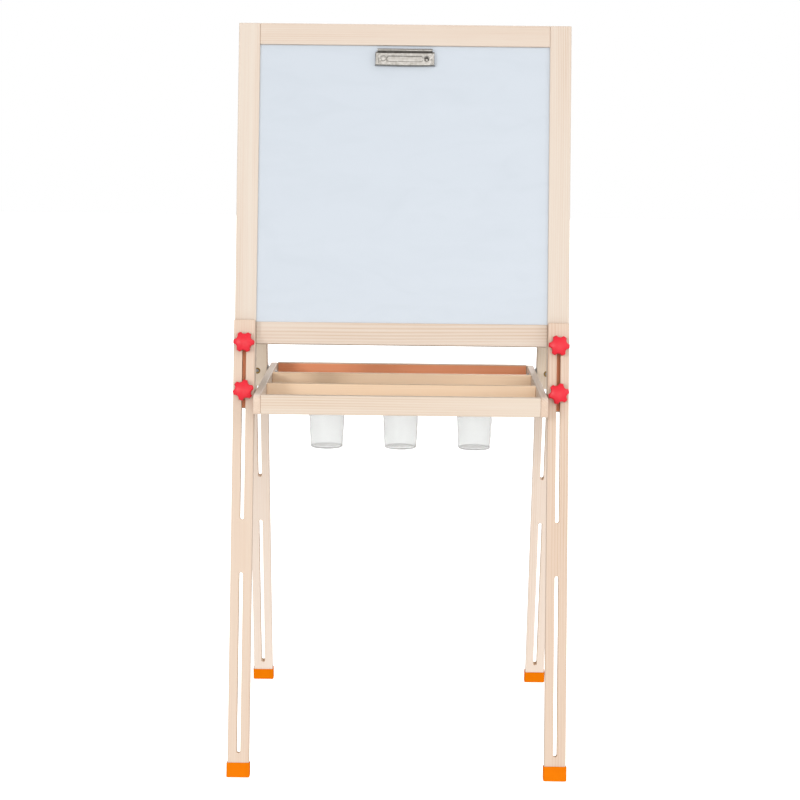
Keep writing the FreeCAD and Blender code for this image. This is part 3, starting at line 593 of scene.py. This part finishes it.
# ---------------------------------------------------------------- tray
pivot = Vector(joints["tray_fold"]["pos_m"])
tray_heads = side_screws("tray_screws", LEVEL)
for side in SIDES:
    node = f"tray_{side}_side"
    low, high = local_box(node, ALONG_Y)
    middle, extent = (low + high) / 2, high - low
    a, b = extent.x / 2, extent.z / 2
    ends = [
        (-a, -b, TRAY_END_CORNER),
        (a, -b, TRAY_END_ROUND),
        (a, b, TRAY_END_ROUND),
        (-a, b, TRAY_END_CORNER),
    ]
    holes = [circle(pivot.z - middle.x, sign * pivot.y - middle.z, PIVOT_RADIUS) for sign in (-1, 1)]
    bm = bar_mesh(extent, outline=rounded_path(ends, True, 8), holes=holes)
    back = ALONG_Y.inverted()
    pockets = [back @ head - middle for head, outwards in tray_heads if head.x * middle.y > 0]
    bm = carved(bm, rods(pockets, Y_AXIS, TRAY_POCKET_RADIUS, SCREW_POCKET_DEPTH))
    # The tray sides get the paler copy of the leg pine: painted light.
    add_bar(node + "_wood", bm, ALONG_Y @ Matrix.Translation(middle), node, leg_painted_light)
add_plain_bar("tray_front_rail", ALONG_X)
low, high = local_box("tray_back_rail", ALONG_X)
reach = (high - low) / 2 - Vector((EDGE_ROUND, 0, EDGE_ROUND))
bm = bar_mesh(high - low)
# The back rail's front-facing inner face gets a deep orange painted shade.
paint_shade_strip(bm, reach.x, -reach.z, reach.z)
spot = ALONG_X @ Matrix.Translation((low + high) / 2)
add_bar("tray_back_rail_wood", bm, spot, "tray_back_rail", second=back_rail_painted_shade)

dividers = bmesh.new()
for low, high in islands("tray_dividers", ALONG_X):
    bm = bar_mesh(high - low)
    bmesh.ops.translate(bm, verts=bm.verts, vec=(low + high) / 2)
    merge(dividers, bm)
# The dividers get the paler pine: painted light.
add_bar("tray_dividers_wood", dividers, ALONG_X, "tray_dividers", divider_painted_light)

low, high = local_box("tray_floor", FLAT)
middle = (low + high) / 2
cup_holes = []
for cup in ("cup_left", "cup_middle", "cup_right"):
    cup_low, cup_high = local_box(cup, FLAT)
    centre = (cup_low + cup_high) / 2 - middle
    cup_holes.append(circle(centre.x, centre.z, CUP_HOLE_RADIUS, 64))
add_plain_bar("tray_floor", FLAT, holes=cup_holes)


# ---------------------------------------------------------------- screws
HEAD_SINK = 0.25 * MM
HEAD_THICKNESS = 0.9 * MM
HEAD_ROUND = 0.2 * MM
RECESS_ROUND = 0.08 * MM
RECESS_FLOOR_SHARE = 0.8
RECESS_FLOOR_ROUND = 0.1 * MM
HEAD_SPIN = 0.7
CROSS_ARM = 0.62
CROSS_WIDTH = 0.24
FRAME_HEAD_RADIUS = 3.6 * MM
TRAY_HEAD_RADIUS = 2.9 * MM


def cross(radius):
    """The outline of a cross recess in a screw head, anticlockwise."""
    arm, half = radius * CROSS_ARM, radius * CROSS_WIDTH / 2
    corners = []
    for step in range(4):
        turn = Matrix.Rotation(math.pi / 2 * step, 2)
        for a, b, rounding in ((arm, -half, 0.3), (arm, half, 0.3), (half, half, 0.2)):
            spot = turn @ Vector((a, b))
            corners.append((spot.x, spot.y, rounding * half))
    return rounded_path(corners, True, 3)


def add_screws(node, place, heads, radius):
    """Sunk heads with a cross recess, each facing its own way."""
    whole = bmesh.new()
    for number, (head, outwards) in enumerate(heads):
        bm = bmesh.new()
        slab(bm, circle(0, 0, radius), HEAD_THICKNESS, HEAD_ROUND, [cross(radius)], RECESS_ROUND)
        head_count = len(bm.verts)
        slab(bm, circle(0, 0, radius * RECESS_FLOOR_SHARE), HEAD_THICKNESS, RECESS_FLOOR_ROUND)
        bm.verts.ensure_lookup_table()
        bmesh.ops.translate(bm, verts=bm.verts[head_count:], vec=Y_AXIS * HEAD_THICKNESS)
        spin = Matrix.Rotation(number * HEAD_SPIN, 4, "Y")
        facing = (-outwards).to_track_quat("Y", "Z").to_matrix().to_4x4()
        centre = head - outwards * (HEAD_SINK + HEAD_THICKNESS / 2)
        bmesh.ops.transform(bm, matrix=Matrix.Translation(centre) @ facing @ spin, verts=bm.verts)
        merge(whole, bm)
    add_piece(node + "_heads", whole, place, [node], [FINISHES[slot_of_node[node]]])


for board, place in BOARDS.items():
    add_screws(f"{board}_frame_screws", place, side_screws(f"{board}_frame_screws", place), FRAME_HEAD_RADIUS)
add_screws("tray_screws", LEVEL, tray_heads, TRAY_HEAD_RADIUS)


# ---------------------------------------------------------------- feet
FOOT_WALL = 1.5 * MM
FOOT_CORNER = 2.6 * MM
SOLE_ROUND = 1.8 * MM
LIP_ROUND = 0.6 * MM
FOOT_BASE = 3 * MM


def add_foot(node, place):
    """A cap round the end of a leg, lofted from its level sole to its lip and down inside."""
    low, high = local_box(node, place)
    middle = (low + high) / 2
    outline = rectangle(high.x - low.x, high.y - low.y, FOOT_CORNER, 6)

    def sole(y):
        return -(place[2][3] + place[2][1] * y) / place[2][2]

    def level_ring(distance, height):
        spots = [Vector((point.x + middle.x, point.y + middle.y)) for point in inset(outline, distance)]
        return ring(bm, [place @ Vector((x, y, height(y))) for x, y in spots])

    bm = bmesh.new()
    rings = []
    for offset, drop in quarter_round(SOLE_ROUND):
        rings.append(level_ring(offset, lambda y, drop=drop: sole(y) + drop))
    for offset, drop in reversed(quarter_round(LIP_ROUND)):
        rings.append(level_ring(offset, lambda y, drop=drop: high.z - drop))
    rings.append(level_ring(FOOT_WALL, lambda y: high.z))
    rings.append(level_ring(FOOT_WALL, lambda y: sole(y) + FOOT_BASE))
    for first, second in zip(rings, rings[1:]):
        bridge(bm, first, second)
    bm.faces.new(rings[0])
    bm.faces.new(rings[-1])
    add_piece(node + "_cap", bm, LEVEL, [node], [FINISHES[slot_of_node[node]]])


# ---------------------------------------------------------------- knobs
KNOB_LOBES = 6
KNOB_RADIUS = 17.5 * MM
VALLEY_RADIUS = 13.6 * MM
SCALLOP_RADIUS = 6.2 * MM
HUB_RADIUS = 8.5 * MM
HUB_HEIGHT = 3.5 * MM
HUB_BEVEL = 0.5 * MM
KNOB_BACK_ROUND = 0.8 * MM
DOME_SHARES = (0.9, 0.78, 0.64, 0.5, 0.36, 0.22, 0.1, 0.0)
KNOB_HEIGHT = 15.5 * MM
DOME_RADIUS = 34 * MM
KNOB_ROUND = 1.7 * MM
BLEND = 1.6 / MM
KNOB_STEPS = 144
KNOB_TURNS = {"front_left": (-3, 17), "front_right": (-4, 15), "rear_left": (40, 5), "rear_right": (0, 28)}


def lobed_radius(turn):
    """The knob's outline: a disc with round scallops, the lobes' corners softened."""
    pitch = 2 * math.pi / KNOB_LOBES
    away = (turn + pitch) % pitch - pitch / 2
    reach = VALLEY_RADIUS + SCALLOP_RADIUS
    inside = SCALLOP_RADIUS**2 - (reach * math.sin(away)) ** 2
    if inside <= 0:
        return KNOB_RADIUS
    scallop = reach * math.cos(away) - math.sqrt(inside)
    return -math.log(math.exp(-BLEND * KNOB_RADIUS) + math.exp(-BLEND * scallop)) / BLEND


def add_knob(node, place, turn):
    """A lobed clamp knob: hub, flat back, scalloped wall and domed face."""
    low, high = local_box(node, place)
    turns = [2 * math.pi * step / KNOB_STEPS for step in range(KNOB_STEPS)]
    radii = [lobed_radius(angle) for angle in turns]
    outline = [Vector((math.cos(angle), math.sin(angle))) * radius for radius, angle in zip(radii, turns)]

    def dome(point):
        return KNOB_HEIGHT - DOME_RADIUS + math.sqrt(DOME_RADIUS**2 - point.length_squared)

    bm = bmesh.new()
    rings = []
    hub = ((0, 0), (HUB_RADIUS - HUB_BEVEL, 0), (HUB_RADIUS, HUB_BEVEL), (HUB_RADIUS, HUB_HEIGHT))
    for radius, height in hub:
        points = [(radius * math.cos(angle), radius * math.sin(angle), height) for angle in turns]
        rings.append(ring(bm, points))
    for offset, drop in quarter_round(KNOB_BACK_ROUND):
        rings.append(ring(bm, [(*point, HUB_HEIGHT + drop) for point in inset(outline, offset)]))
    for offset, drop in reversed(quarter_round(KNOB_ROUND, 6)):
        points = inset(outline, offset)
        rings.append(ring(bm, [(*point, dome(point) - drop) for point in points]))
    face = inset(outline, KNOB_ROUND)
    for share in DOME_SHARES:
        points = [point * share for point in face]
        rings.append(ring(bm, [(*point, dome(point)) for point in points]))
    for first, second in zip(rings, rings[1:]):
        bridge(bm, first, second)
    seat = Vector(((low.x + high.x) / 2, high.y, (low.z + high.z) / 2))
    bmesh.ops.rotate(bm, verts=bm.verts, matrix=Matrix.Rotation(math.radians(turn), 3, "Z"))
    facing = Matrix.Rotation(math.pi / 2, 4, "X")
    spot = place @ Matrix.Translation(seat) @ facing
    add_piece(node + "_moulding", bm, spot, [node], [FINISHES[slot_of_node[node]]])


for board, place in BOARDS.items():
    for side in SIDES:
        add_foot(f"{board}_{side}_foot", place)
        for level, turn in zip(("upper", "lower"), KNOB_TURNS[f"{board}_{side}"]):
            add_knob(f"{board}_{side}_{level}_knob", place, turn)


# ---------------------------------------------------------------- cups
CUP_WALL = 1.2 * MM
CUP_BASE_RADIUS = 27 * MM
CUP_TOP_RADIUS = 30.7 * MM
CUP_RIM_RADIUS = 34 * MM
CUP_RIM_THICKNESS = 1.5 * MM
CUP_BASE_ROUND = 1.6 * MM
CUP_INNER_ROUND = 2.2 * MM
FOOT_RING = 3 * MM
tray_floor_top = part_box("tray_floor")[1].z

for cup in ("cup_left", "cup_middle", "cup_right"):
    low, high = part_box(cup)
    seat = Vector(((low.x + high.x) / 2, (low.y + high.y) / 2, tray_floor_top))
    base, top = low.z - seat.z, high.z - seat.z
    corners = [
        (0, base + CUP_WALL, 0),
        (CUP_BASE_RADIUS - FOOT_RING, base + CUP_WALL, 0.4 * MM),
        (CUP_BASE_RADIUS - FOOT_RING, base, 0.4 * MM),
        (CUP_BASE_RADIUS, base, CUP_BASE_ROUND),
        (CUP_TOP_RADIUS, 0, 0.4 * MM),
        (CUP_RIM_RADIUS, 0, 0.6 * MM),
        (CUP_RIM_RADIUS, CUP_RIM_THICKNESS, 0.6 * MM),
        (CUP_TOP_RADIUS, CUP_RIM_THICKNESS, 0.5 * MM),
        (CUP_TOP_RADIUS, top, 0.5 * MM),
        (CUP_TOP_RADIUS - CUP_WALL, top, 0.5 * MM),
        (CUP_BASE_RADIUS - CUP_WALL, base + 2 * CUP_WALL, CUP_INNER_ROUND),
        (0, base + 2 * CUP_WALL, 0),
    ]
    bm = bmesh.new()
    lathe(bm, rounded_path(corners, False, 6), 96)
    add_piece(cup + "_moulding", bm, Matrix.Translation(seat), [cup], [FINISHES[slot_of_node[cup]]])


# ---------------------------------------------------------------- paper clip
CLIP_METAL = 0.7 * MM
CHEEK_ROUND = 1.6 * MM
CLIP_ROLL = 2.6 * MM
CLIP_STEP = 0.55 * MM
PANEL_HALF_LENGTH = 30.6 * MM
PANEL_HALF_HEIGHT = 4.6 * MM
PANEL_RISE = 0.7 * MM
RIM_RISE = 0.35 * MM
CLIP_BOW = 0.9 * MM
CLIP_LIP_ROUND = 2.0 * MM
CLIP_BROW = 21.2 * MM
CLIP_GROOVE = 1.9 * MM
CLIP_NECK = 23.4 * MM
CLIP_HOLE_RADIUS = 4.0 * MM
CLIP_HOLE_RIM = 4.4 * MM
PANEL_BLEND = 1.2 * MM
RIM_BLEND = 1.3 * MM
SHOULDER = 6 * MM
SHOULDER_BLEND = 1.5 * MM
BOW_HEIGHT = 6 * MM
CHEEK_TOP = 2.6 * MM
ROLL_INSET = 3.4 * MM


def smooth(value):
    value = min(1.0, max(0.0, value))
    return value * value * (3 - 2 * value)


def add_clip():
    """The sprung jaw of the paper clip: a pressed cover with turned cheeks, and a rolled thumb edge."""
    low, high = local_box("clip_jaw", FRONT)
    half = (high.x - low.x) / 2
    depth = high.y - low.y
    holes = [(insert_low + insert_high) / 2 for insert_low, insert_high in islands("clip_rivets", FRONT)]
    hole_up = holes[0].z - low.z
    hole_reach = abs(holes[0].x)
    corners = [
        (depth, 0, 0),
        (0, 0, CLIP_LIP_ROUND),
        (0, CLIP_BROW, 0.8 * MM),
        (CLIP_GROOVE - 0.2 * MM, CLIP_BROW + 1.2 * MM, 0.6 * MM),
        (CLIP_GROOVE, CLIP_NECK, 0),
    ]
    rough = rounded_path(corners, False, 6)
    profile = []
    for first, second in zip(rough, rough[1:]):
        count = max(1, round((second - first).length / CLIP_STEP))
        profile += [first.lerp(second, step / count) for step in range(count)]
    profile.append(rough[-1])
    flat = half - CHEEK_ROUND
    count = round(2 * flat / CLIP_STEP)
    columns = [(-flat + 2 * flat * step / count, 0.0) for step in range(count + 1)]
    bend = [math.pi / 2 * step / 5 for step in range(1, 6)]
    for sign in (-1, 1):
        cheek = []
        for turn in bend:
            out, back = math.sin(turn) - 1, 1 - math.cos(turn)
            cheek.append((sign * (half + CHEEK_ROUND * out), CHEEK_ROUND * back))
        cheek += [(sign * half, CHEEK_ROUND + (depth - CHEEK_ROUND) * step / 8) for step in range(1, 9)]
        columns = [*reversed(cheek), *columns] if sign < 0 else columns + cheek
    bm = bmesh.new()
    rows = []
    for back, up in profile:
        row = []
        for x, turned in columns:
            along = max(0.0, abs(x) - (PANEL_HALF_LENGTH - PANEL_HALF_HEIGHT))
            from_panel = math.hypot(along, up - hole_up) - PANEL_HALF_HEIGHT
            from_hole = abs(math.hypot(abs(x) - hole_reach, up - hole_up) - CLIP_HOLE_RIM)
            rise = PANEL_RISE * (1 - smooth(from_panel / PANEL_BLEND + 0.5))
            rise += RIM_RISE * (1 - smooth(from_hole / RIM_BLEND))
            rise = max(rise, PANEL_RISE * smooth((abs(x) - half + SHOULDER) / SHOULDER_BLEND))
            limit = depth - back
            reach = min(turned, limit if up < CLIP_NECK - CHEEK_TOP else CHEEK_ROUND)
            bow = CLIP_BOW * (x / half) ** 2 * max(0.0, 1 - up / BOW_HEIGHT)
            row.append(bm.verts.new((x, back + reach + PANEL_RISE - rise, up + bow)))
        rows.append(row)
    for first, second in zip(rows, rows[1:]):
        bridge(bm, first, second, closed=False)
    turns = [math.radians(-75 + 15 * step) for step in range(24)]
    centre = Vector((CLIP_ROLL, high.z - low.z - CLIP_ROLL))
    roll_half = half - ROLL_INSET
    curls = []
    for turn in turns:
        y, z = centre.x - CLIP_ROLL * math.cos(turn), centre.y + CLIP_ROLL * math.sin(turn)
        spots = [-roll_half + 2 * roll_half * step / 60 for step in range(61)]
        curls.append([bm.verts.new((x, y, z)) for x in spots])
    for first, second in zip(curls, curls[1:]):
        bridge(bm, first, second, closed=False)
    sheet = temporary(bm)
    thick = sheet.modifiers.new("Thickness", "SOLIDIFY")
    thick.thickness = CLIP_METAL
    thick.offset = -1.0
    bm = evaluated(sheet)
    spots = [Vector((hole.x, 0, hole_up)) for hole in holes]
    bm = carved(bm, rods(spots, Y_AXIS, CLIP_HOLE_RADIUS, CLIP_HOLE_RADIUS, 48))
    spot = FRONT @ Matrix.Translation(Vector((0, low.y, low.z)))
    add_piece("clip_jaw_pressing", bm, spot, ["clip_jaw"], [FINISHES["clip_nickel"]])


add_clip()


# ---------------------------------------------------------------- CAD pieces that keep their shape
for name, node in frame["nodes"].items():
    if not node.hide_render:
        node.data.materials.clear()
        node.data.materials.append(FINISHES[slot_of_node[name]])


# ---------------------------------------------------------------- floor, light and camera
FLOOR_SIZE = 30.0
FLOOR_GLOW = 0.7
DOME_SIZE = 60.0
WORLD_STRENGTH = 0.75
# the name of each sun, the direction it shines from, its strength, and its spread in degrees
SUNS = (
    ("key", (-0.55, -0.8, 0.22), 0.9, 12.0),
    ("fill", (0.12, -1.0, 0.16), 1.1, 40.0),
    ("side", (0.85, -0.45, 0.42), 0.8, 40.0),
    ("back", (0.3, 0.9, 0.45), 1.2, 30.0),
)


def plain(name, shade, glow):
    """A white that is partly lit and partly glows by itself."""
    finish = Finish(name, Roughness=0.9, Specular_IOR_Level=0.0, Emission_Strength=glow)
    finish.shader.inputs["Base Color"].default_value = (shade, shade, shade, 1)
    finish.shader.inputs["Emission Color"].default_value = (1, 1, 1, 1)
    return finish.material


def add_stage(name, bm, material):
    """A surface round the object that the camera sees, and that neither lights nor shades the object."""
    mesh = bpy.data.meshes.new(name)
    bm.to_mesh(mesh)
    bm.free()
    mesh.materials.append(material)
    piece = bpy.data.objects.new(name, mesh)
    bpy.context.scene.collection.objects.link(piece)
    piece.visible_diffuse = False
    piece.visible_glossy = False
    piece.visible_shadow = False


bm = bmesh.new()
bmesh.ops.create_grid(bm, x_segments=1, y_segments=1, size=FLOOR_SIZE / 2)
add_stage("floor", bm, plain("floor_white", 0.9, FLOOR_GLOW))
bm = bmesh.new()
bmesh.ops.create_uvsphere(bm, u_segments=48, v_segments=24, radius=DOME_SIZE / 2)
add_stage("backdrop", bm, plain("backdrop_white", 0.0, 1.0))


def add_sun(name, towards, strength, spread):
    """Even light from a direction, with shadows as soft as its spread in degrees."""
    data = bpy.data.lights.new(name, "SUN")
    data.energy = strength
    data.angle = math.radians(spread)
    lamp = bpy.data.objects.new(name, data)
    bpy.context.scene.collection.objects.link(lamp)
    lamp.rotation_mode = "QUATERNION"
    lamp.rotation_quaternion = Vector(towards).to_track_quat("Z", "Y")


for sun in SUNS:
    add_sun(*sun)

world = bpy.data.worlds.new("studio")
world.use_nodes = True
world.node_tree.nodes["Background"].inputs["Color"].default_value = (1, 1, 1, 1)
world.node_tree.nodes["Background"].inputs["Strength"].default_value = WORLD_STRENGTH
bpy.context.scene.world = world
bpy.context.scene.view_settings.view_transform = "Standard"

CAMERA_PLACE = Vector((0.01581, -3.21737, 1.10512))
CAMERA_YAW = -0.0056
CAMERA_PITCH = 0.1583
CAMERA_ROLL = 0.011
CAMERA_LENS = 83.87
camera_data = bpy.data.cameras.new("camera")
camera_data.lens = CAMERA_LENS
camera_data.sensor_width = 36.0
camera = bpy.data.objects.new("camera", camera_data)
bpy.context.scene.collection.objects.link(camera)
aim = Matrix.Rotation(-CAMERA_YAW, 4, "Z") @ Matrix.Rotation(math.pi / 2 - CAMERA_PITCH, 4, "X")
camera.matrix_world = Matrix.Translation(CAMERA_PLACE) @ aim @ Matrix.Rotation(CAMERA_ROLL, 4, "Z")
bpy.context.scene.camera = camera
